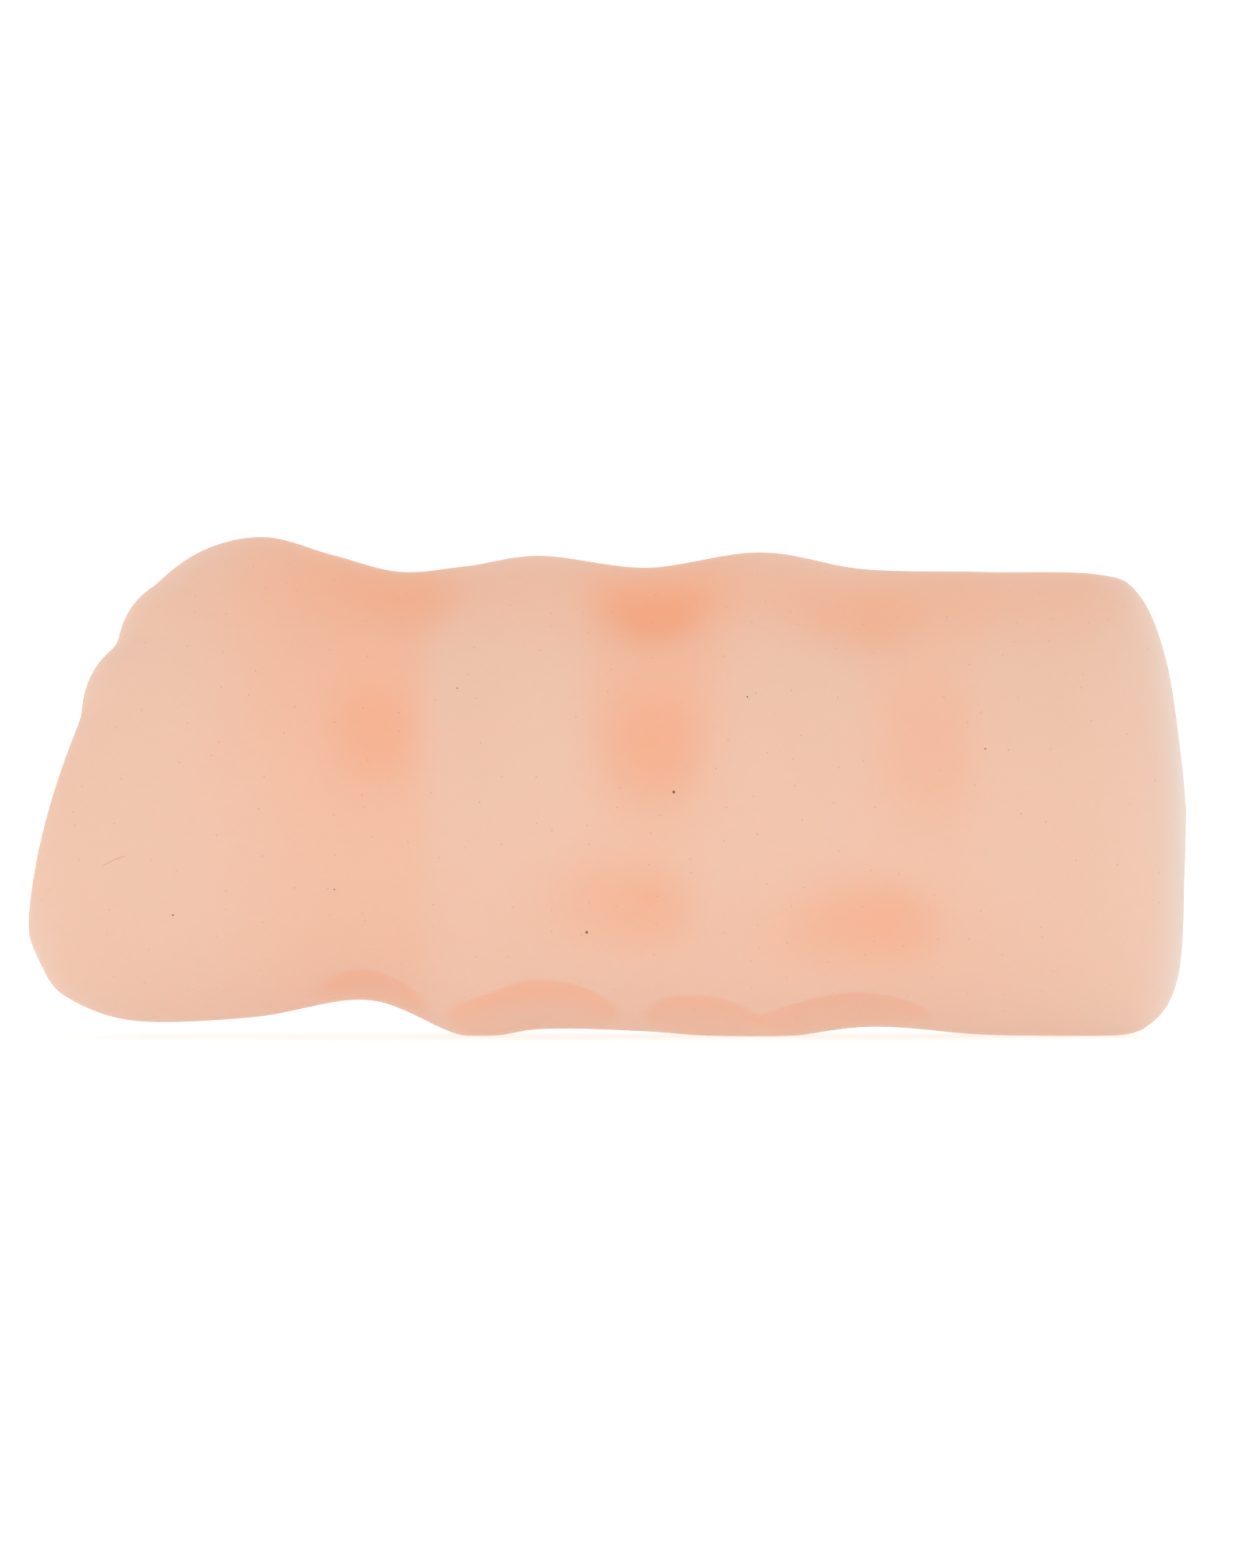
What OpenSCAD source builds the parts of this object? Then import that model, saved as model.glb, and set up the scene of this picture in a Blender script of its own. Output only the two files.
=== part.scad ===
// Contoured soft sleeve. A pale elastomer body is moulded over a firmer, deeper-coloured channel liner.
// +X runs from the slanted mouth to the closed end, +Z is up, and the sleeve lies settled on its underside.
// The origin is at the centre of the footprint, on the surface that the sleeve lies on.

/* [Body] */
// Length of the body along X
body_length = 147.8; // [140:0.2:156]
// Height of the plain barrel in front of the closed end's rounding
barrel_d = 59; // [57:0.2:62]
// How far the soft underside is pressed flat where it rests
settle_depth = 0.5; // [0.4:0.1:0.8]

/* [Grip dimples] */
// Depth of the deepest thumb dimples
dimple_depth = 2; // [1:0.1:3]
// Depth of the four finger dimples along each lower flank
finger_depth = 1.8; // [1:0.1:2.5]

/* [Channel] */
// Diameter of the channel at its grip rings
channel_d = 16; // [14:0.5:18]
// How deep each groove between two grip rings is cut
groove_depth = 1.4; // [0.8:0.1:1.8]
// Number of grooves between the grip rings
groove_count = 10; // [6:1:10]
// Outer diameter of the liner
liner_d = 38; // [34:1:39]

/* [Hidden] */

pale_peach = [0.95, 0.77, 0.68];
deep_peach = [0.96, 0.68, 0.54];

nominal_length = 147.8;
nominal_d = 59;
length_scale = body_length / nominal_length;
width_scale = barrel_d / nominal_d;

// Loft sections from the rim of the channel's opening, out over the slanted mouth and along to the
// closed end. Each is [top x, top z, bottom x, bottom z, half width, cheek], before settling, where
// cheek is how far the two sides of a section stand forward of its top and bottom.
sections = [
    [-61, 42.2, -61, 17.8, 12.2, 0],
    [-62.5, 45.5, -66, 15, 15.4, 1],
    [-61.4, 51.5, -73.4, 14.6, 20, 1.7],
    [-57.5, 58, -72.2, 9.4, 25, 1.8],
    [-51.1, 62.6, -68.9, 5.3, 28.7, 1],
    [-43.5, 64, -60.2, 2.3, 30.4, 0.2],
    [-35, 61.7, -45, 2.9, 29.6, 0],
    [-26.5, 59.6, -30.5, 5.1, 27.9, 0],
    [-18, 60.3, -18, 0.3, 29, 0],
    [-8.5, 61.7, -8.5, 1.2, 30.3, 0],
    [5, 60.2, 5, 1.1, 29.4, 0],
    [19.5, 62.1, 19.5, 0, 30.4, 0],
    [33, 60, 33, 1.5, 29.4, 0],
    [48, 59.6, 48, 0.6, 29.5, 0],
    [62.5, 59.3, 63, 0.3, 29.4, 0],
    [67.6, 57, 69.2, 1.9, 27.4, 0],
    [70.9, 49.6, 72.6, 7.4, 21.4, 0],
    [72.8, 38.6, 73.4, 18.4, 10.5, 0],
];
closed_tip = [73.9, 0, 29.4];

// The channel's axis runs along X through the middle of the first section.
channel_z = (sections[0][1] + sections[0][3]) / 2 * width_scale - settle_depth;

// Dimples as [x, degrees above the horizontal, share of the full depth, length, width].
thumb_dimples = [
    [-29.5, 15, 0.65, 7, 10],
    [5.5, 54.5, 0.95, 8, 8],
    [5.5, 13, 0.9, 8, 10],
    [3.5, -28, 0.85, 11, 8],
    [32, 54, 0.75, 11, 8],
    [40, 13, 0.6, 7, 12],
    [33.5, -34, 0.9, 12, 8],
];
finger_xs = [-30.5, -8.5, 11, 31.5];
finger_angle = -69;
finger_size = [9, 7.5];

segments = 48;
rings_per_section = 3;
collar_d = 23;
collar_length = 10;
collar_round = 2;
shoulder_length = 7;
liner_start_x = -62.5;
liner_end_x = 62;
liner_round = 8;
channel_end_x = 50;
clearance_cut = 1;
lead_in = 3;
groove_pitch = 9.6;
groove_width = 5;
round_fn = 96;

// A point on the smooth curve through the rows of p, where t counts rows.
function spline(p, t) =
    let (i = min(floor(t), len(p) - 2), f = t - i)
    let (a = p[max(i - 1, 0)], b = p[i], c = p[i + 1], d = p[min(i + 2, len(p) - 1)])
    0.5 * (2 * b + (c - a) * f + (2 * a - 5 * b + 4 * c - d) * f * f + (3 * b - a - 3 * c + d) * f * f * f);

// How deep one round-bottomed dimple is at a distance of dx along the body and dw around it.
function dimple(dx, dw, depth, size) =
    let (q = pow(dx / size[0], 2) + pow(dw / size[1], 2))
    depth * exp(-q * (1 + q * 0.4));

// Total depth of the dimples at x and at an angle above the horizontal, the same on both flanks.
function dimples(x, angle) =
    let (arc = PI * nominal_d / 360)
    let (thumb = [for (d = thumb_dimples)
        dimple(x - d[0], (angle - d[1]) * arc, d[2] * dimple_depth, [d[3], d[4]])])
    let (finger = [for (fx = finger_xs, side = [finger_angle, -180 - finger_angle])
        dimple(x - fx, (angle - side) * arc, finger_depth, finger_size)])
    total(thumb) + total(finger);

function total(v) = [for (i = 0, s = 0; i <= len(v); s = s + (i < len(v) ? v[i] : 0), i = i + 1) s][len(v)];

// One closed loop of points around section s, starting at the +Y flank and going up.
function ring(s) =
    let (centre = [(s[0] + s[2]) / 2, 0, (s[1] + s[3]) / 2])
    let (up = [(s[0] - s[2]) / 2, 0, (s[1] - s[3]) / 2])
    [for (j = [0 : segments - 1])
        let (phi = 360 * j / segments)
        let (out = up * sin(phi) + [0, s[4] * cos(phi), 0])
        let (cheek = [-s[5] * pow(cos(phi), 2), 0, 0])
        let (angle = phi > 270 ? phi - 360 : (phi > 90 ? 180 - phi : phi))
        let (depth = dimples(centre[0] + out[0], angle))
        placed(centre + out * (1 - depth / norm(out)) + cheek)];

function placed(p) = [p[0] * length_scale, p[1] * width_scale, p[2] * width_scale];

module skin_loft() {
    ring_count = (len(sections) - 1) * rings_per_section;
    loops = [for (k = [0 : ring_count]) ring(spline(sections, k / rings_per_section))];
    tip = len(loops) * segments;
    walls = [for (k = [0 : ring_count - 1], j = [0 : segments - 1])
        let (a = k * segments + j)
        let (b = k * segments + (j + 1) % segments)
        each [[a, b + segments, b], [a, a + segments, b + segments]]];
    last = ring_count * segments;
    closing = [for (j = [0 : segments - 1]) [last + (j + 1) % segments, last + j, tip]];
    rim = [for (j = [0 : segments - 1]) j];
    polyhedron(
        points = [each [for (loop = loops) each loop], placed(closed_tip)],
        faces = concat(walls, closing, [rim])
    );
}

// Lays a shape drawn along +Z, from z = 0 at the channel's opening, along +X on the channel's axis.
module on_channel() {
    translate([liner_start_x * length_scale, 0, channel_z]) rotate([0, 90, 0]) children();
}

// Half outline of the liner's outside, from its opening up: collar, shoulder, body and domed end.
module liner_outline() {
    height = (liner_end_x - liner_start_x) * length_scale;
    collar_r = collar_d / 2;
    body_r = liner_d / 2;
    shoulder = [collar_length, collar_length + shoulder_length];
    square([collar_r - collar_round, collar_length]);
    translate([0, collar_round]) square([collar_r, collar_length - collar_round]);
    translate([collar_r - collar_round, collar_round]) circle(r = collar_round, $fn = round_fn);
    polygon([[0, shoulder[0]], [collar_r, shoulder[0]], [body_r, shoulder[1]], [0, shoulder[1]]]);
    translate([0, shoulder[1]]) square([body_r, height - liner_round - shoulder[1]]);
    translate([0, shoulder[1]]) square([body_r - liner_round, height - shoulder[1]]);
    translate([body_r - liner_round, height - liner_round]) circle(r = liner_round, $fn = round_fn);
}

// The pale outer body: everything that shows, apart from the collar in the mouth.
module outer_sleeve() {
    color(pale_peach)
        difference() {
            translate([0, 0, -settle_depth]) skin_loft();
            translate([-body_length, -barrel_d, -barrel_d]) cube([2 * body_length, 2 * barrel_d, barrel_d]);
            on_channel() {
                rotate_extrude($fn = round_fn) liner_outline();
                translate([0, 0, -clearance_cut]) cylinder(h = collar_length, d = collar_d, $fn = round_fn);
            }
        }
}

// The blind channel: grip rings with rounded grooves between them.
module channel_space() {
    depth = (channel_end_x - liner_start_x) * length_scale;
    radius = channel_d / 2;
    groove_r = (pow(groove_width / 2, 2) + pow(groove_depth, 2)) / (2 * groove_depth);
    groove_start = (depth - (groove_count - 1) * groove_pitch) / 2;
    translate([0, 0, -clearance_cut]) cylinder(h = depth + clearance_cut, r = radius, $fn = round_fn);
    translate([0, 0, depth]) sphere(r = radius, $fn = round_fn);
    cylinder(h = lead_in, r1 = radius + lead_in, r2 = radius, $fn = round_fn);
    for (i = [0 : groove_count - 1])
        translate([0, 0, groove_start + i * groove_pitch])
            rotate_extrude($fn = round_fn)
                translate([radius + groove_depth - groove_r, 0]) circle(r = groove_r, $fn = round_fn);
}

// The firmer liner that forms the channel, with a rounded collar in the mouth and a domed closed end.
module channel_liner() {
    color(deep_peach)
        on_channel()
            difference() {
                rotate_extrude($fn = round_fn) liner_outline();
                channel_space();
            }
}

outer_sleeve();
channel_liner();
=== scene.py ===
"""Soft grip sleeve: a pale moulded elastomer body bonded round a deeper-coloured, ribbed channel liner."""

import math

import bmesh
import bpy
from bpy.props import FloatProperty, FloatVectorProperty, IntProperty, PointerProperty
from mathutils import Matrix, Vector, noise


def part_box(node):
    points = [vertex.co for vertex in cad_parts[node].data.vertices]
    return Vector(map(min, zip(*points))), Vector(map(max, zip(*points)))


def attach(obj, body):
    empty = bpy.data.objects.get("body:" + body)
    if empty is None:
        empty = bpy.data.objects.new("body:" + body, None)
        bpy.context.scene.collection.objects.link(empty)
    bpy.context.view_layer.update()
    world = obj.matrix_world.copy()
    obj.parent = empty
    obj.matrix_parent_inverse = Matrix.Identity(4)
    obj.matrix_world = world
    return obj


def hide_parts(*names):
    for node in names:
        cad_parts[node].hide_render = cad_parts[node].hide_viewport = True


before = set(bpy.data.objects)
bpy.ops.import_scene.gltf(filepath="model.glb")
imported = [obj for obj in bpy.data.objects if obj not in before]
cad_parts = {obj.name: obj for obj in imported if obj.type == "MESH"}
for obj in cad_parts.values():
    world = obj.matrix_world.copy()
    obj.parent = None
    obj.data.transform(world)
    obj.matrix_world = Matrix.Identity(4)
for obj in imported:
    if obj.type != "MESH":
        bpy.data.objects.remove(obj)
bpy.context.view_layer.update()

bl_info = {
    "name": "Soft Grip Sleeve",
    "version": (1, 0, 0),
    "blender": (4, 5, 0),
    "location": "View3D > Sidebar > Grip Sleeve",
    "description": "Builds a soft grip sleeve with finger dimples, its channel liner and a plain stage",
    "category": "Add Mesh",
}

MM = 0.001
MERGE_DISTANCE = 0.00001
SLEEVE_LOW, SLEEVE_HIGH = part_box("outer_sleeve")
LINER_LOW, LINER_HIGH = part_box("channel_liner")

# The shapes are drawn in millimetres for a sleeve of this length and height, and scaled to the frame.
DRAWN_LENGTH = 147.8
DRAWN_HEIGHT = 63.5
ALONG = (SLEEVE_HIGH.x - SLEEVE_LOW.x) / DRAWN_LENGTH
ACROSS = (SLEEVE_HIGH.z - SLEEVE_LOW.z) / DRAWN_HEIGHT
CHANNEL_HEIGHT = (LINER_LOW.z + LINER_HIGH.z) / 2

# Sections of the body from the rim round the liner's collar, out over the slanted mouth and along to the
# closed end, before the underside settles: top x, top z, bottom x, bottom z, half width, and cheek, which
# is how far a section's two sides stand forward of its top and bottom.
SECTIONS = (
    (-61, 42.2, -61, 17.8, 12.2, 0),
    (-62.5, 45.5, -66, 15, 15.4, 1),
    (-61.4, 51.5, -73.4, 14.6, 20, 1.7),
    (-57.5, 58, -72.2, 9.4, 25, 1.8),
    (-51.1, 62.6, -68.9, 5.3, 28.7, 1),
    (-43.5, 64, -60.2, 2.3, 30.4, 0.2),
    (-35, 61.7, -45, 2.9, 29.6, 0),
    (-26.5, 59.6, -30.5, 5.1, 27.9, 0),
    (-18, 60.3, -18, 0.3, 29, 0),
    (-8.5, 61.7, -8.5, 1.2, 30.3, 0),
    (5, 60.2, 5, 1.1, 29.4, 0),
    (19.5, 62.1, 19.5, 0, 30.4, 0),
    (33, 60, 33, 1.5, 29.4, 0),
    (48, 59.6, 48, 0.6, 29.5, 0),
    (62.5, 59.3, 63, 0.3, 29.4, 0),
    (67.6, 57, 69.2, 1.9, 27.4, 0),
    (70.9, 49.6, 72.6, 7.4, 21.4, 0),
    (72.8, 38.6, 73.4, 18.4, 10.5, 0),
    (73.9, 29.4, 73.9, 29.4, 0, 0),
)
RING_STEP = 0.7
BODY_SEGMENTS = 216
SETTLE = 0.5
SETTLE_EDGE = 0.15
BARREL_RADIUS = 29.5
# Slight unevenness of the moulding: sizes and heights of its swells.
SWELLS = ((23, 0.2), (9, 0.06))

# Dimples for the thumb and palm: x, degrees above the horizontal, depth, share of the core that they
# show, and reach to the left, to the right and round the body. Each is soft on its left and firmer on
# its right.
THUMB_DIMPLES = (
    (-26, 60, 0.8, 0.18, 11, 10, 8),
    (-29.5, 15, 1.3, 0.3, 6, 6, 9),
    (5.5, 54.5, 1.9, 0.52, 7.5, 8, 7.5),
    (5.5, 13, 1.8, 0.38, 7, 7, 9.5),
    (4, -28, 1.7, 0.42, 13, 7.5, 8),
    (5.2, -26.4, 0.15, 0.16, 1.3, 1.1, 1.1),
    (30.5, 53, 1.5, 0.38, 10.5, 10.5, 8.2),
    (40, 13, 1.2, 0.24, 6.5, 6.5, 11.5),
    (34, -34, 1.8, 0.5, 14, 8.5, 8),
)
DIMPLE_EDGE = 0.5
# Scoops for the four fingers: x, degrees above the horizontal, depth, half length, half width, and how
# far in from its edge the core's colour takes to show.
FINGER_SCOOPS = (
    (-29.7, -69, 1.0, 8.3, 6, 0.7),
    (-9.6, -69, 1.9, 11.4, 9.5, 0.2),
    (11.9, -69, 1.4, 8.3, 7.4, 0.5),
    (29.7, -69, 1.6, 11.8, 6.2, 0.25),
)
SCOOP_EDGE = 0.1
SCOOP_SHARE = 0.52
# Degrees below the horizontal between which the scoops' colour fades, and how much of it goes.
SCOOP_FADE = (56, 80, 0.8)
# Waists round the grip, where the pale layer is thinner: x, share of the core shown below and above the
# middle, and reach to the left and to the right. The right side reaches further near the top.
WAISTS = ((-28, 0.17, 0.36, 19, 5.5), (6, 0, 0.32, 9, 8.5), (39, 0.02, 0.13, 7.5, 8))
WAIST_HEIGHTS = (20, 44)
WAIST_SPREAD = (48, 56, 3)
# Painted shade along the top, where the colour turns warmer and deeper, and a painted highlight at the closed
# end, which turns it paler and whiter. Each change is the two x between which it happens, and its size.
BASE_SHARE = 0.05
TOP_SHADE = 0.26
TOP_SHADE_HEIGHTS = (45, 60)
TOP_SHADE_START = 0.55
TOP_SHADE_CHANGES = ((-50, -30, 0.45), (30, 50, 0.5), (60, 69, -1.5))
# Painted highlight: the closed end is turned paler and whiter, standing in for the light that falls on it.
END_HIGHLIGHT_CHANGES = ((67, 76, 0.9), (56, 68, 0.12))
# This attribute carries the core's share, painted shade along the top and a painted highlight at the closed
# end.
CORE_AND_LIGHT_ATTRIBUTE = "core_and_painted_light"

# Ribs across the top of the slanted mouth: height of the crest, half height and how far it stands out.
MOUTH_RIBS = ((54.2, 3.6, 0.8), (45.5, 4.4, 1.1))
# The sections between which the ribs rise and die away, and how far across they reach.
RIBS_RISE = (1, 2.2)
RIBS_DIE = (3.8, 4.8)
RIBS_ACROSS = (22, 28)
RIB_EDGE = 0.25
RIB_OUT = Vector((-0.81, 0, 0.59))

MOUTH_RIM_X = -61
MOUTH_RIM_ROUND = 0.7

# The liner's outline, as distances from its opening and radii.
LINER_START = -62.5
LINER_LENGTH = 124.5
COLLAR = (10, 11.5)
LINER_BODY = (17, 19)
LINER_ROUND = 8
CHANNEL = (112.5, 8)
GROOVE_COUNT = 10
GROOVE_PITCH = 9.6
GROOVE_WIDTH = 5
GROOVE_DEPTH = 1.4
SEAT_GAP = 0.02
LINER_SEGMENTS = 96

# Texture of the surfaces, as sizes and depths in metres.
PORES = (0.0004, 0.00003)
PALE_RIPPLE = (0.005, 0.00012)
CORE_RIPPLE = (0.003, 0.0001)

# Marks on the skin, in metres: lint as its spacing, radius and share of places filled, and the distances
# from the channel's axis between which it starts to show; single specks on the near flank as their places
# along and above the floor and radii; and one hair with its place, size, slope and bend, which shows
# only this far out from the middle.
LINT_SPECKS = (0.018, 0.00017, 0.35)
LINT_DUST = (0.0045, 0.00013, 0.5)
LINT_LIMIT = (0.021, 0.022)
NEAR_SPECKS = (
    (0.0083, 0.0311, 0.00023),
    (-0.0026, 0.0135, 0.00022),
    (-0.0544, 0.0157, 0.00015),
    (0.0472, 0.0365, 0.00013),
    (0.0175, 0.043, 0.00013),
    (-0.0188, 0.0441, 0.00012),
    (-0.0342, 0.0189, 0.00012),
)
LINT_COLOUR = (0.13, 0.05, 0.035, 1)
HAIR_PLACE = (-0.0617, 0.0226)
HAIR_LENGTH = 0.003
HAIR_WIDTH = 0.00012
HAIR_SLOPE = 0.42
HAIR_BEND = 60
HAIR_OUT = 0.022
HAIR_COLOUR = (0.5, 0.2, 0.12, 1)

# What the camera shows at the sleeve: its height, and the point along and above the floor at its centre.
VIEW_HEIGHT = 0.2
VIEW_CENTRE = (0.0012, 0.0321)
SENSOR = 36

FLOOR_PALER = (0.4, 0.4, 0.4, 1)
FLOOR_RADIUS = 3
WALL_BEND = 1
WALL_HEIGHT = 2
SOFTBOXES = (("softbox_left", -0.35), ("softbox_right", 0.35))
SOFTBOX_DEPTH = -0.85
SOFTBOX_HEIGHT = 0.12
SOFTBOX_SIZE = 0.5


# ---------------------------------------------------------------- curves and falloffs

def spline(rows, t):
    """The row at t, which counts rows, on a smooth curve through them."""
    i = min(int(t), len(rows) - 2)
    f = t - i
    a, b, c, d = rows[max(i - 1, 0)], rows[i], rows[i + 1], rows[min(i + 2, len(rows) - 1)]
    return [
        0.5 * (2 * q + (r - p) * f + (2 * p - 5 * q + 4 * r - s) * f * f + (3 * q - p - 3 * r + s) * f ** 3)
        for p, q, r, s in zip(a, b, c, d)
    ]


def ramp(low, high, x):
    """0 below low, 1 above high and a soft ramp between them."""
    f = min(max((x - low) / (high - low), 0), 1)
    return f * f * (3 - 2 * f)


def soft_positive(x, edge):
    """x where it is above 0 and 0 where it is below, with a rounded corner between them."""
    return 0.5 * (x + math.sqrt(x * x + edge * edge))


def arc(centre, radius, start, end, steps):
    """Points of an arc from one angle to another, in degrees, where 0 points away from the opening."""
    angles = [math.radians(start + (end - start) * i / steps) for i in range(steps + 1)]
    return [(centre[0] + radius * math.cos(a), centre[1] + radius * math.sin(a)) for a in angles]


# ---------------------------------------------------------------- the body's skin

def thumb_dimples(x, angle):
    """How deep the thumb and palm dimples are at x and at an angle above the horizontal, and how much of the
    core they show."""
    total = shown = 0
    for centre, height, depth, share, left, right, around in THUMB_DIMPLES:
        dx = (x - centre) / (left if x < centre else right)
        dw = math.radians(angle - height) * BARREL_RADIUS / around
        q = dx * dx + dw * dw
        soft = math.exp(-q * (1 + 0.4 * q))
        firm = soft_positive(1 - q, DIMPLE_EDGE)
        form = soft + (firm - soft) * ramp(-0.5, 0.5, dx)
        total += depth * form
        shown += share * form
    return total, shown


def finger_depth(x, angle):
    """How deep the finger scoops are at x and at an angle above the horizontal, on both flanks."""
    total = 0
    for centre, height, depth, half_length, half_width, fade in FINGER_SCOOPS:
        for side in (height, -180 - height):
            dx = (x - centre) / half_length
            dw = math.radians(angle - side) * BARREL_RADIUS / half_width
            total += depth * soft_positive(1 - dx * dx - dw * dw, SCOOP_EDGE)
    return total


def scoop_share(x, angle):
    """How much of the core the finger scoops show: most just inside their upper edges, and less below."""
    total = 0
    for centre, height, depth, half_length, half_width, fade in FINGER_SCOOPS:
        dx = (x - centre) / half_length
        dw = math.radians(angle - height) * BARREL_RADIUS / half_width
        total += ramp(0, fade, 1 - dx * dx - dw * dw)
    start, end, lost = SCOOP_FADE
    return SCOOP_SHARE * total * (1 - lost * ramp(start, end, -angle))


def layer_share_and_painted_light(x, z):
    """How much of the core shows where the layer is thin at the waists, plus painted shade along the top,
    less a painted highlight that makes the closed end paler and whiter."""
    # Painted shade: the top of the body warmer and deeper in colour, standing in for the shade there.
    top_shade_along = TOP_SHADE_START + sum(change * ramp(start, end, x) for start, end, change in TOP_SHADE_CHANGES)
    total = BASE_SHARE + TOP_SHADE * top_shade_along * ramp(*TOP_SHADE_HEIGHTS, z)
    # Painted highlight: the closed end paler and whiter, where light falls on it.
    total -= sum(change * ramp(start, end, x) for start, end, change in END_HIGHLIGHT_CHANGES)
    low_z, high_z, spread = WAIST_SPREAD
    for centre, low, high, left, right in WAISTS:
        reach = left if x < centre else right + spread * ramp(low_z, high_z, z)
        share = low + (high - low) * ramp(*WAIST_HEIGHTS, z)
        total += share * math.exp(-((x - centre) / reach) ** 4)
    return total


def rib_height(point, t):
    """How far the ribs across the top of the mouth stand out at a point of section t."""
    window = ramp(*RIBS_RISE, t) * (1 - ramp(*RIBS_DIE, t)) * (1 - ramp(*RIBS_ACROSS, abs(point.y)))
    total = 0
    for crest, half, height in MOUTH_RIBS:
        total += height * soft_positive(1 - ((point.z - crest) / half) ** 2, RIB_EDGE)
    return window * total


def skin_point(t, phi, dimple_scale):
    """The drawn point of the skin at section t and angle phi, and how much of the core shows through it, with
    painted shade along the top and, below zero, a painted highlight at the closed end.
    """
    top_x, top_z, bottom_x, bottom_z, half_width, cheek = spline(SECTIONS, t)
    centre = Vector((top_x + bottom_x, 0, top_z + bottom_z)) / 2
    up = Vector((top_x - bottom_x, 0, top_z - bottom_z)) / 2
    out = up * math.sin(phi) + Vector((0, half_width * math.cos(phi), 0))
    angle = math.degrees(math.asin(min(max(math.sin(phi), -1), 1)))
    x = centre.x + out.x
    thumbs, shown = thumb_dimples(x, angle)
    depth = dimple_scale * (thumbs + finger_depth(x, angle))
    point = centre + out * (1 - depth / max(out.length, BARREL_RADIUS / 2))
    point.x -= cheek * math.cos(phi) ** 2
    point += RIB_OUT * rib_height(point, t)
    swell = sum(height * noise.noise(point / size) for size, height in SWELLS)
    if out.length > 1:
        point += out.normalized() * swell * ramp(1, 6, out.length)
    point.z = soft_positive(point.z - SETTLE, SETTLE_EDGE)
    # Besides the core, this share carries painted shade along the top, and below zero a painted highlight at
    # the closed end.
    shown += scoop_share(x, angle) + layer_share_and_painted_light(x, point.z)
    return point, min(shown, 1)


def body_stations():
    """The rings that the body is drawn through, from the seat's blind end, out of the mouth and to the
    closed end. Each is ("seat", x, radius) round the channel's axis or ("skin", t)."""
    start = LINER_START
    end = start + LINER_LENGTH
    round_centre = (end - LINER_ROUND, LINER_BODY[1] - LINER_ROUND)
    outline = [(end, 0), (end, round_centre[1] / 2)]
    outline += arc(round_centre, LINER_ROUND, 0, 90, 8)
    outline += [(start + LINER_BODY[0], LINER_BODY[1]), (start + COLLAR[0], COLLAR[1])]
    outline += arc((MOUTH_RIM_X + MOUTH_RIM_ROUND, COLLAR[1] + MOUTH_RIM_ROUND), MOUTH_RIM_ROUND, 270, 190, 6)
    stations = [("seat", x, radius + SEAT_GAP if radius else 0) for x, radius in outline]
    for i in range(len(SECTIONS) - 1):
        here, there = SECTIONS[i], SECTIONS[i + 1]
        top = math.hypot(there[0] - here[0], there[1] - here[1])
        bottom = math.hypot(there[2] - here[2], there[3] - here[3])
        steps = max(4, round(max(top, bottom, there[4] - here[4]) / RING_STEP))
        stations += [("skin", i + j / steps) for j in range(steps)]
    return stations + [("skin", len(SECTIONS) - 1)]


def place_ring_point(station, phi, dimple_scale):
    """The frame point at an angle round a station, and how much of the core shows through there, with the
    painted shade and painted highlight that the skin carries.
    """
    if station[0] == "skin":
        point, near = skin_point(station[1], phi, dimple_scale)
    else:
        height = (SECTIONS[0][1] + SECTIONS[0][3]) / 2 - SETTLE
        point = Vector((station[1], station[2] * math.cos(phi), height + station[2] * math.sin(phi)))
        near = 1
    return Vector((point.x * ALONG, point.y * ACROSS, point.z * ACROSS)), near


def finish_mesh(name, bm):
    """Closes the mesh's seams and poles, turns its faces outwards and makes it a smooth object."""
    bmesh.ops.remove_doubles(bm, verts=bm.verts, dist=MERGE_DISTANCE)
    bmesh.ops.recalc_face_normals(bm, faces=bm.faces)
    for face in bm.faces:
        face.smooth = True
    mesh = bpy.data.meshes.new(name)
    bm.to_mesh(mesh)
    bm.free()
    piece = bpy.data.objects.new(name, mesh)
    bpy.context.scene.collection.objects.link(piece)
    return piece


def draw_body(settings):
    """Spins a row of points into a tube, and moves each ring of it to its station."""
    stations = body_stations()
    bm = bmesh.new()
    row = [bm.verts.new((i, 0, 1)) for i in range(len(stations))]
    edges = [bm.edges.new(pair) for pair in zip(row, row[1:])]
    bmesh.ops.spin(
        bm,
        geom=row + edges,
        cent=(0, 0, 0),
        axis=(1, 0, 0),
        angle=math.tau,
        steps=BODY_SEGMENTS,
        use_merge=True,
    )
    shown = bm.verts.layers.float.new(CORE_AND_LIGHT_ATTRIBUTE)
    for vert in bm.verts:
        station = stations[round(vert.co.x)]
        phi = math.atan2(vert.co.z, vert.co.y)
        vert.co, vert[shown] = place_ring_point(station, phi, settings.dimple_scale)
    return finish_mesh("sleeve_body", bm)


# ---------------------------------------------------------------- the channel liner

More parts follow.
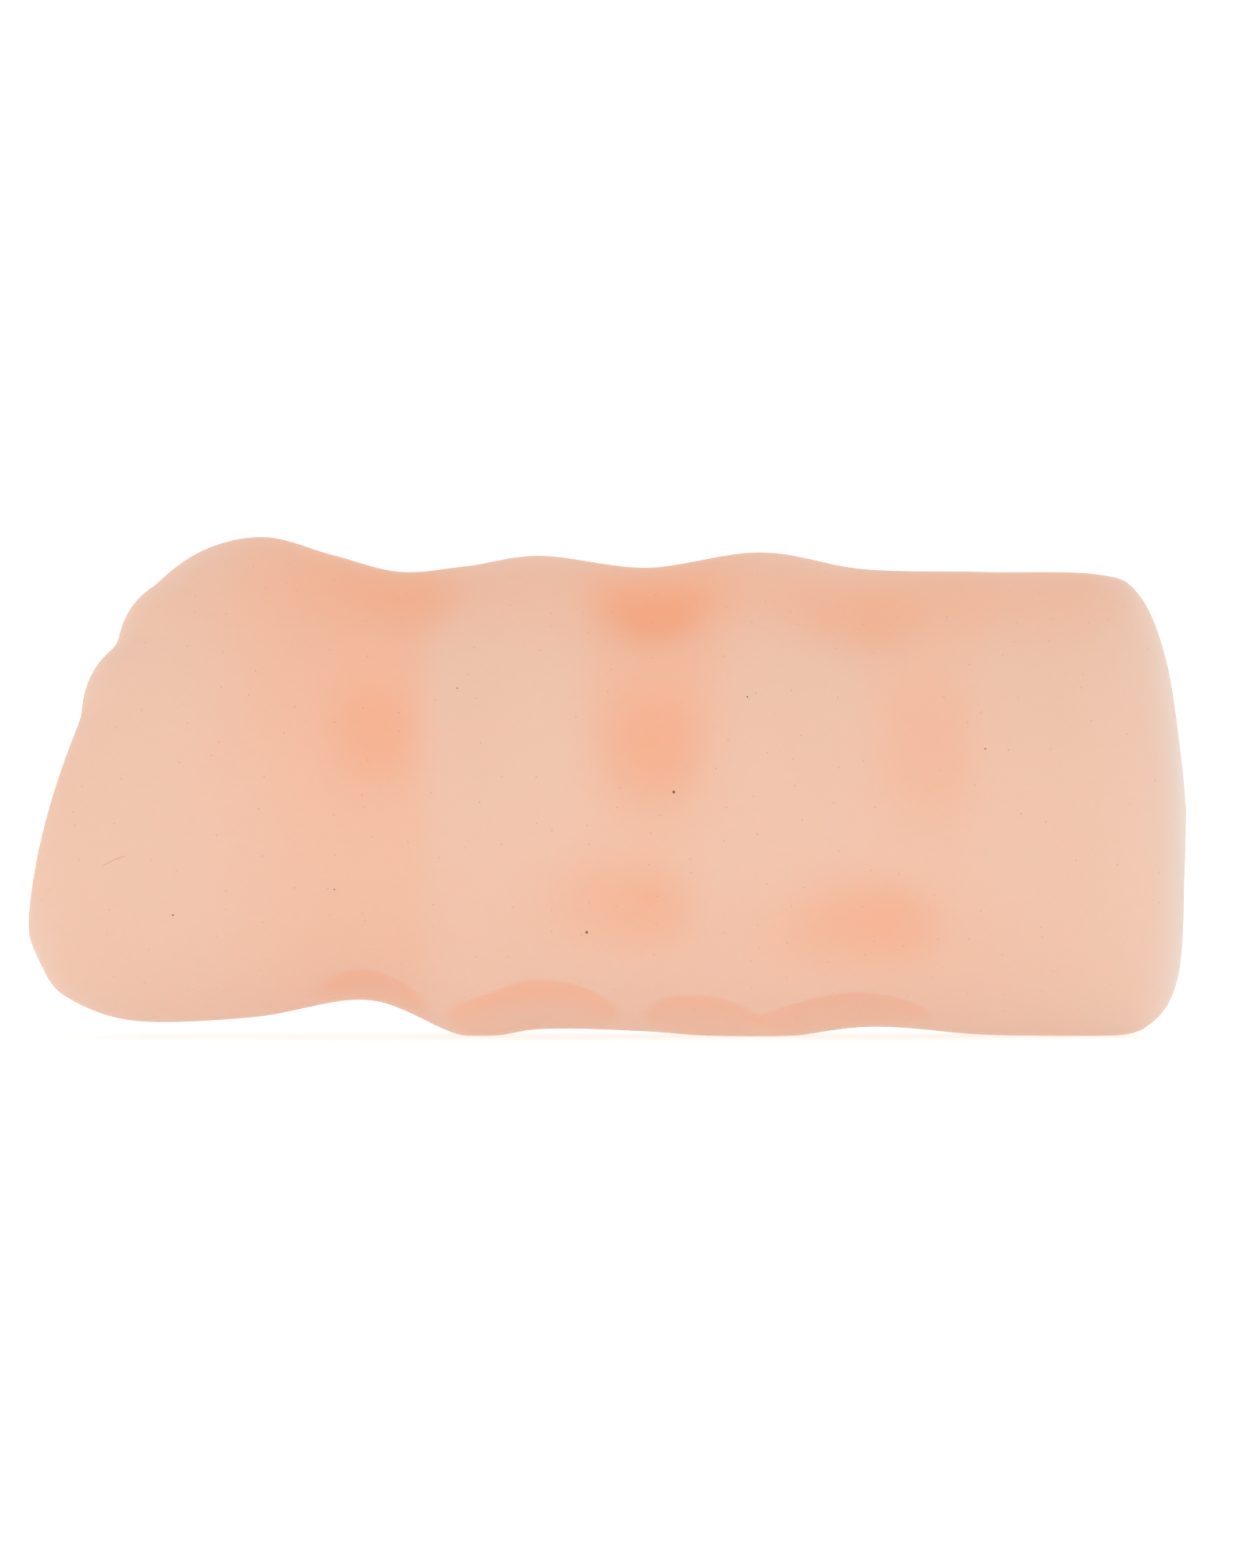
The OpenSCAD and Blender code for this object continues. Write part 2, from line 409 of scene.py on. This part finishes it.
def liner_outline(settings):
    """The liner's half outline as distances from its opening and radii, from the channel's blind end, out of
    the opening and round to the domed end."""
    channel_end, channel_radius = CHANNEL[0], settings.channel_radius / MM
    points = arc((channel_end, 0), channel_radius, 0, 90, 16)
    depth = settings.groove_depth / MM
    groove_radius = (GROOVE_WIDTH ** 2 / 4 + depth ** 2) / (2 * depth)
    groove_centre = channel_radius + depth - groove_radius
    spread = math.degrees(math.asin(GROOVE_WIDTH / 2 / groove_radius))
    first = (channel_end - (settings.groove_count - 1) * GROOVE_PITCH) / 2
    for i in reversed(range(settings.groove_count)):
        points += arc((first + i * GROOVE_PITCH, groove_centre), groove_radius, 90 - spread, 90 + spread, 10)
    lip = (COLLAR[1] - channel_radius) / 2
    points += arc((lip, channel_radius + lip), lip, 270, 90, 16)
    points += [(COLLAR[0], COLLAR[1]), (LINER_BODY[0], LINER_BODY[1])]
    points += arc((LINER_LENGTH - LINER_ROUND, LINER_BODY[1] - LINER_ROUND), LINER_ROUND, 90, 0, 12)
    return points + [(LINER_LENGTH, 0)]


def draw_liner(settings):
    """Spins the liner's half outline round the channel's axis."""
    bm = bmesh.new()
    row = []
    for distance, radius in liner_outline(settings):
        x = (LINER_START + distance) * ALONG
        row.append(bm.verts.new((x, 0, CHANNEL_HEIGHT + radius * ACROSS)))
    edges = [bm.edges.new(pair) for pair in zip(row, row[1:])]
    bmesh.ops.spin(
        bm,
        geom=row + edges,
        cent=(0, 0, CHANNEL_HEIGHT),
        axis=(1, 0, 0),
        angle=math.tau,
        steps=LINER_SEGMENTS,
        use_merge=True,
    )
    return finish_mesh("liner", bm)


# ---------------------------------------------------------------- finishes

class Wire:
    """An output socket of a finish. Arithmetic on it adds Math nodes."""

    def __init__(self, finish, socket):
        self.finish = finish
        self.socket = socket

    def math(self, operation, *values):
        return self.finish.node("ShaderNodeMath", {"operation": operation}, dict(enumerate(values)))

    def __add__(self, other):
        return self.math("ADD", self, other)

    def __sub__(self, other):
        return self.math("SUBTRACT", self, other)

    def __rsub__(self, other):
        return self.math("SUBTRACT", other, self)

    def __mul__(self, other):
        return self.math("MULTIPLY", self, other)

    def __abs__(self):
        return self.math("ABSOLUTE", self)

    def above(self, low, high):
        """0 below low, 1 above high and a soft ramp between them."""
        settings = {"interpolation_type": "SMOOTHSTEP"}
        inputs = {"Value": self, "From Min": low, "From Max": high}
        return self.finish.node("ShaderNodeMapRange", settings, inputs)

    __radd__ = __add__
    __rmul__ = __mul__


class Finish:
    """A material's node tree, and the few ways that its nodes are added."""

    def __init__(self, name):
        self.material = bpy.data.materials.new(name)
        self.material.use_nodes = True
        self.tree = self.material.node_tree
        self.shader = self.tree.nodes["Principled BSDF"]
        self.place = self.node("ShaderNodeTexCoord", {}, {}, "Object")

    def node(self, kind, settings, inputs, output=0):
        """Adds a node: its settings first, then the values and links of its sockets."""
        node = self.tree.nodes.new(kind)
        for name, value in settings.items():
            setattr(node, name, value)
        self.fill(node, inputs)
        return Wire(self, node.outputs[output])

    def fill(self, node, inputs):
        """Sets or links sockets of a node."""
        for name, value in inputs.items():
            if isinstance(value, Wire):
                self.tree.links.new(value.socket, node.inputs[name])
            else:
                node.inputs[name].default_value = value

    def mix(self, share, low, high):
        """A colour between two colours."""
        return self.node("ShaderNodeMix", {"data_type": "RGBA"}, {0: share, 6: low, 7: high}, 2)

    def noise(self, size, detail=2):
        """Soft noise around 0.5, with features of about a size in metres."""
        inputs = {"Vector": self.place, "Scale": 1 / size, "Detail": detail}
        return self.node("ShaderNodeTexNoise", {}, inputs, "Fac")

    def axes(self):
        """The three coordinates of a point on the piece."""
        split = self.node("ShaderNodeSeparateXYZ", {}, {0: self.place})
        return [Wire(self, socket) for socket in split.socket.node.outputs]

    def bump(self, height, distance, normal=None):
        """A normal from a height, with its full swing as a distance in metres."""
        inputs = {"Height": height, "Distance": distance, "Strength": 1}
        if normal:
            inputs["Normal"] = normal
        return self.node("ShaderNodeBump", {}, inputs)

    def skin_texture(self, ripple):
        """A normal from a shallow ripple, given as its size and depth, with fine pores over it."""
        size, depth = ripple
        uneven = self.bump(self.noise(size, 1), depth)
        size, depth = PORES
        return self.bump(self.noise(size, 3), depth, uneven)


def lint_mask(finish, spacing, radius, chance):
    """Where lint clings to the skin: unrolled round the channel, some cells of a pattern hold a speck."""
    x, y, z = finish.axes()
    up = z - CHANNEL_HEIGHT
    around = up.math("ARCTAN2", up, y) * (BARREL_RADIUS * MM)
    unrolled = finish.node("ShaderNodeCombineXYZ", {}, {0: x, 1: around})
    inputs = {"Vector": unrolled, "Scale": 1 / spacing}
    cells = finish.node("ShaderNodeTexVoronoi", {"voronoi_dimensions": "2D"}, inputs, "Distance")
    colour = Wire(finish, cells.socket.node.outputs["Color"])
    picked = finish.node("ShaderNodeSeparateColor", {}, {0: colour})
    size = radius / spacing
    cross = finish.node("ShaderNodeCombineXYZ", {}, {0: y, 1: up})
    off_axis = finish.node("ShaderNodeVectorMath", {"operation": "LENGTH"}, {0: cross}, "Value")
    spots = (1 - cells.above(size * 0.4, size)) * (1 - picked.above(chance, chance + 0.01))
    return spots * off_axis.above(*LINT_LIMIT)


def speck_mask(finish):
    """Where the larger specks lie: in their places on the near flank, and scattered over the far one."""
    x, y, z = finish.axes()
    flank = finish.node("ShaderNodeCombineXYZ", {}, {0: x, 2: z})
    placed = 0
    for along, height, radius in NEAR_SPECKS:
        inputs = {0: flank, 1: (along, 0, height)}
        away = finish.node("ShaderNodeVectorMath", {"operation": "DISTANCE"}, inputs, "Value")
        placed = placed + (1 - away.above(radius * 0.5, radius))
    near = y.math("LESS_THAN", y, 0)
    return placed * near + lint_mask(finish, *LINT_SPECKS) * (1 - near)


def hair_mask(finish):
    """A short curved hair lying on the skin beside the mouth."""
    x, y, z = finish.axes()
    across, up = x - HAIR_PLACE[0], z - HAIR_PLACE[1]
    bow = up - across * HAIR_SLOPE + across * across * HAIR_BEND
    line = 1 - abs(bow).above(HAIR_WIDTH * 0.4, HAIR_WIDTH)
    ends = 1 - abs(across).above(HAIR_LENGTH * 0.4, HAIR_LENGTH * 0.5)
    return line * ends * y.math("LESS_THAN", y, -HAIR_OUT)


def pale_finish(settings):
    """Matt, faintly powdered elastomer that glows warmer where it is thin over the core; the same colours
    also paint shade along the top and a highlight at the closed end.
    """
    finish = Finish("pale_elastomer")
    shown = finish.node("ShaderNodeAttribute", {"attribute_name": CORE_AND_LIGHT_ATTRIBUTE}, {}, "Fac")
    mottle = finish.noise(0.016) - 0.5
    grain = finish.noise(0.0011) - 0.5
    near = shown + mottle * 0.12 + grain * 0.04
    # Below zero the share paints the closed end's highlight; above zero it mixes in the core's colour, which
    # along the top is painted shade.
    colour = finish.mix(0 - near, settings.pale_colour, settings.end_highlight_colour)
    colour = finish.mix(near, colour, settings.core_colour)
    specks = speck_mask(finish)
    dust = lint_mask(finish, *LINT_DUST)
    hair = hair_mask(finish)
    colour = finish.mix(hair * 0.35, colour, HAIR_COLOUR)
    colour = finish.mix(dust * 0.45, colour, HAIR_COLOUR)
    colour = finish.mix(specks * 0.9, colour, LINT_COLOUR)
    inputs = {
        "Base Color": colour,
        "Roughness": 0.5 + mottle * 0.12 + specks * 0.3,
        "Normal": finish.skin_texture(PALE_RIPPLE),
        "Subsurface Weight": 0.35,
        "Subsurface Radius": (1, 0.36, 0.2),
        "Subsurface Scale": 0.006,
        "IOR": 1.42,
        "Specular IOR Level": 0.18,
        "Sheen Weight": 0.02,
        "Sheen Roughness": 0.6,
        "Sheen Tint": (1, 0.93, 0.88, 1),
    }
    finish.fill(finish.shader, inputs)
    return finish.material


def core_finish(settings):
    """Deeper-coloured, slightly moist-looking elastomer of the channel liner."""
    finish = Finish("deep_elastomer")
    mottle = finish.noise(0.009) - 0.5
    grain = finish.noise(0.0009) - 0.5
    share = 0.5 + mottle * 0.7 + grain * 0.25
    colour = finish.mix(share, settings.core_colour, settings.deep_colour)
    inputs = {
        "Base Color": colour,
        "Roughness": 0.38 + mottle * 0.15,
        "Normal": finish.skin_texture(CORE_RIPPLE),
        "Subsurface Weight": 0.35,
        "Subsurface Radius": (1, 0.3, 0.15),
        "Subsurface Scale": 0.004,
        "IOR": 1.42,
    }
    finish.fill(finish.shader, inputs)
    return finish.material


def place_piece(piece, material, node):
    """Gives a piece its finish and its body, and hides the solid that it stands for."""
    piece.data.materials.append(material)
    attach(piece, "root")
    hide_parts(node)


# ---------------------------------------------------------------- the stage

def draw_sweep(settings):
    """A round floor that curves up into a low wall, so that it looks the same from every side."""
    bm = bmesh.new()
    bend = (FLOOR_RADIUS, WALL_BEND)
    profile = [(0, 0), *arc(bend, WALL_BEND, 270, 360, 12), (FLOOR_RADIUS + WALL_BEND, WALL_HEIGHT)]
    row = [bm.verts.new((x, 0, z)) for x, z in profile]
    edges = [bm.edges.new(pair) for pair in zip(row, row[1:])]
    bmesh.ops.spin(
        bm, geom=row + edges, cent=(0, 0, 0), axis=(0, 0, 1), angle=math.tau, steps=96, use_merge=True
    )
    sweep = finish_mesh("floor", bm)
    finish = Finish("white_sweep")
    tooth = finish.noise(0.002)
    inputs = {
        "Base Color": finish.mix(tooth, settings.floor_colour, FLOOR_PALER),
        "Roughness": 0.7,
        "Normal": finish.bump(tooth, 0.00002),
        "Emission Color": (1, 1, 1, 1),
        "Emission Strength": settings.floor_glow,
    }
    finish.fill(finish.shader, inputs)
    sweep.data.materials.append(finish.material)


def add_softbox(name, side, power):
    """A square light in front of the sleeve and to one side, which faces its middle."""
    light = bpy.data.lights.new(name, "AREA")
    light.shape = "SQUARE"
    light.size = SOFTBOX_SIZE
    light.energy = power
    place = Vector((side, SOFTBOX_DEPTH, SOFTBOX_HEIGHT))
    lamp = bpy.data.objects.new(name, light)
    lamp.location = place
    lamp.rotation_euler = (Vector((0, 0, VIEW_CENTRE[1])) - place).to_track_quat("-Z", "Y").to_euler()
    bpy.context.scene.collection.objects.link(lamp)


def add_camera(settings):
    """A level camera square to the sleeve's side."""
    lens = bpy.data.cameras.new("camera")
    lens.lens = settings.focal_length
    lens.sensor_width = SENSOR
    camera = bpy.data.objects.new("camera", lens)
    distance = VIEW_HEIGHT * settings.focal_length / SENSOR
    camera.location = (VIEW_CENTRE[0], -distance, VIEW_CENTRE[1])
    camera.rotation_euler = (math.radians(90), 0, 0)
    bpy.context.scene.collection.objects.link(camera)
    bpy.context.scene.camera = camera


def set_world(settings):
    """An even, pale surround."""
    world = bpy.data.worlds.new("surround")
    world.use_nodes = True
    background = world.node_tree.nodes["Background"]
    background.inputs["Color"].default_value = (1, 1, 1, 1)
    background.inputs["Strength"].default_value = settings.surround
    bpy.context.scene.world = world
    bpy.context.scene.view_settings.view_transform = "Standard"


# ---------------------------------------------------------------- the add-on

class SleeveSettings(bpy.types.PropertyGroup):
    """Sizes and colours of the outer body."""

    dimple_scale: FloatProperty(
        name="Dimple Depth", description="Depth of all the dimples, as a share of the drawn depth",
        default=1, min=0, max=1.2, subtype="FACTOR",
    )
    pale_colour: FloatVectorProperty(
        name="Pale Colour", description="Colour where the pale layer is thickest",
        default=(0.79, 0.527, 0.405, 1), size=4, min=0, max=1, subtype="COLOR",
    )
    # Painted highlight: the colour that makes the closed end paler and whiter, where light falls on it.
    end_highlight_colour: FloatVectorProperty(
        name="End Highlight Colour", description="Colour of the painted highlight at the closed end",
        default=(0.74, 0.638, 0.565, 1), size=4, min=0, max=1, subtype="COLOR",
    )
    # Along the top of the body this colour also stands for painted shade.
    core_colour: FloatVectorProperty(
        name="Core Colour", description="Colour where the core shows through the pale layer",
        default=(0.885, 0.391, 0.224, 1), size=4, min=0, max=1, subtype="COLOR",
    )


class LinerSettings(bpy.types.PropertyGroup):
    """Sizes and colours of the channel liner."""

    channel_radius: FloatProperty(
        name="Channel Radius", description="Radius of the channel at its grip rings",
        default=CHANNEL[1] * MM, min=0.006, max=0.009, precision=4, unit="LENGTH",
    )
    groove_depth: FloatProperty(
        name="Groove Depth", description="Depth of the grooves between the grip rings",
        default=GROOVE_DEPTH * MM, min=0.0005, max=0.002, precision=4, unit="LENGTH",
    )
    groove_count: IntProperty(
        name="Grooves", description="Number of grooves along the channel", default=GROOVE_COUNT, min=4, max=11
    )
    core_colour: FloatVectorProperty(
        name="Light Colour", description="Lighter colour of the liner's mottling",
        default=(0.87, 0.42, 0.28, 1), size=4, min=0, max=1, subtype="COLOR",
    )
    deep_colour: FloatVectorProperty(
        name="Deep Colour", description="Deeper colour of the liner's mottling",
        default=(0.8, 0.3, 0.18, 1), size=4, min=0, max=1, subtype="COLOR",
    )


class StageSettings(bpy.types.PropertyGroup):
    """Floor, lights and camera."""

    floor_colour: FloatVectorProperty(
        name="Floor Colour", description="Colour of the floor and backdrop",
        default=(0.34, 0.34, 0.34, 1), size=4, min=0, max=1, subtype="COLOR",
    )
    floor_glow: FloatProperty(
        name="Floor Glow", description="Extra light from the floor and backdrop", default=0.68, min=0, max=2
    )
    surround: FloatProperty(
        name="Surround", description="Brightness of the pale surround", default=0.92, min=0, max=2
    )
    key_power: FloatProperty(
        name="Softbox Power", description="Power of each softbox in watts", default=0.45, min=0, max=100
    )
    focal_length: FloatProperty(
        name="Focal Length", description="Camera's focal length in millimetres", default=250, min=35, max=300
    )


class GRIPSLEEVE_OT_body(bpy.types.Operator):
    """Builds the pale outer body"""

    bl_idname = "grip_sleeve.body"
    bl_label = "Build Outer Body"

    def execute(self, context):
        settings = context.scene.grip_sleeve_body
        place_piece(draw_body(settings), pale_finish(settings), "outer_sleeve")
        return {"FINISHED"}


class GRIPSLEEVE_OT_liner(bpy.types.Operator):
    """Builds the ribbed channel liner"""

    bl_idname = "grip_sleeve.liner"
    bl_label = "Build Channel Liner"

    def execute(self, context):
        settings = context.scene.grip_sleeve_liner
        place_piece(draw_liner(settings), core_finish(settings), "channel_liner")
        return {"FINISHED"}


class GRIPSLEEVE_OT_stage(bpy.types.Operator):
    """Builds the floor, the lights and the camera"""

    bl_idname = "grip_sleeve.stage"
    bl_label = "Build Stage"

    def execute(self, context):
        settings = context.scene.grip_sleeve_stage
        draw_sweep(settings)
        set_world(settings)
        for name, side in SOFTBOXES:
            add_softbox(name, side, settings.key_power)
        add_camera(settings)
        return {"FINISHED"}


class GRIPSLEEVE_PT_sidebar(bpy.types.Panel):
    """Lists the sleeve's pieces"""

    bl_idname = "GRIPSLEEVE_PT_sidebar"
    bl_label = "Grip Sleeve"
    bl_space_type = "VIEW_3D"
    bl_region_type = "UI"
    bl_category = "Grip Sleeve"

    def draw(self, context):
        for part, operator, group in BUILD_ORDER:
            box = self.layout.box()
            settings = getattr(context.scene, group)
            for name in type(settings).__annotations__:
                box.prop(settings, name)
            box.operator(operator, text=part)


BUILD_ORDER = (
    ("Outer Body", "grip_sleeve.body", "grip_sleeve_body"),
    ("Channel Liner", "grip_sleeve.liner", "grip_sleeve_liner"),
    ("Stage", "grip_sleeve.stage", "grip_sleeve_stage"),
)
GROUPS = {
    "grip_sleeve_body": SleeveSettings,
    "grip_sleeve_liner": LinerSettings,
    "grip_sleeve_stage": StageSettings,
}
CLASSES = (
    *GROUPS.values(),
    GRIPSLEEVE_OT_body,
    GRIPSLEEVE_OT_liner,
    GRIPSLEEVE_OT_stage,
    GRIPSLEEVE_PT_sidebar,
)


def register():
    """Adds the classes and the scene's settings."""
    for cls in CLASSES:
        bpy.utils.register_class(cls)
    for name, group in GROUPS.items():
        setattr(bpy.types.Scene, name, PointerProperty(type=group))


def unregister():
    """Removes the scene's settings and the classes."""
    for name in GROUPS:
        delattr(bpy.types.Scene, name)
    for cls in reversed(CLASSES):
        bpy.utils.unregister_class(cls)


def main():
    """Builds every piece."""
    register()
    bpy.ops.grip_sleeve.body()
    bpy.ops.grip_sleeve.liner()
    bpy.ops.grip_sleeve.stage()


if __name__ == "__main__":
    main()
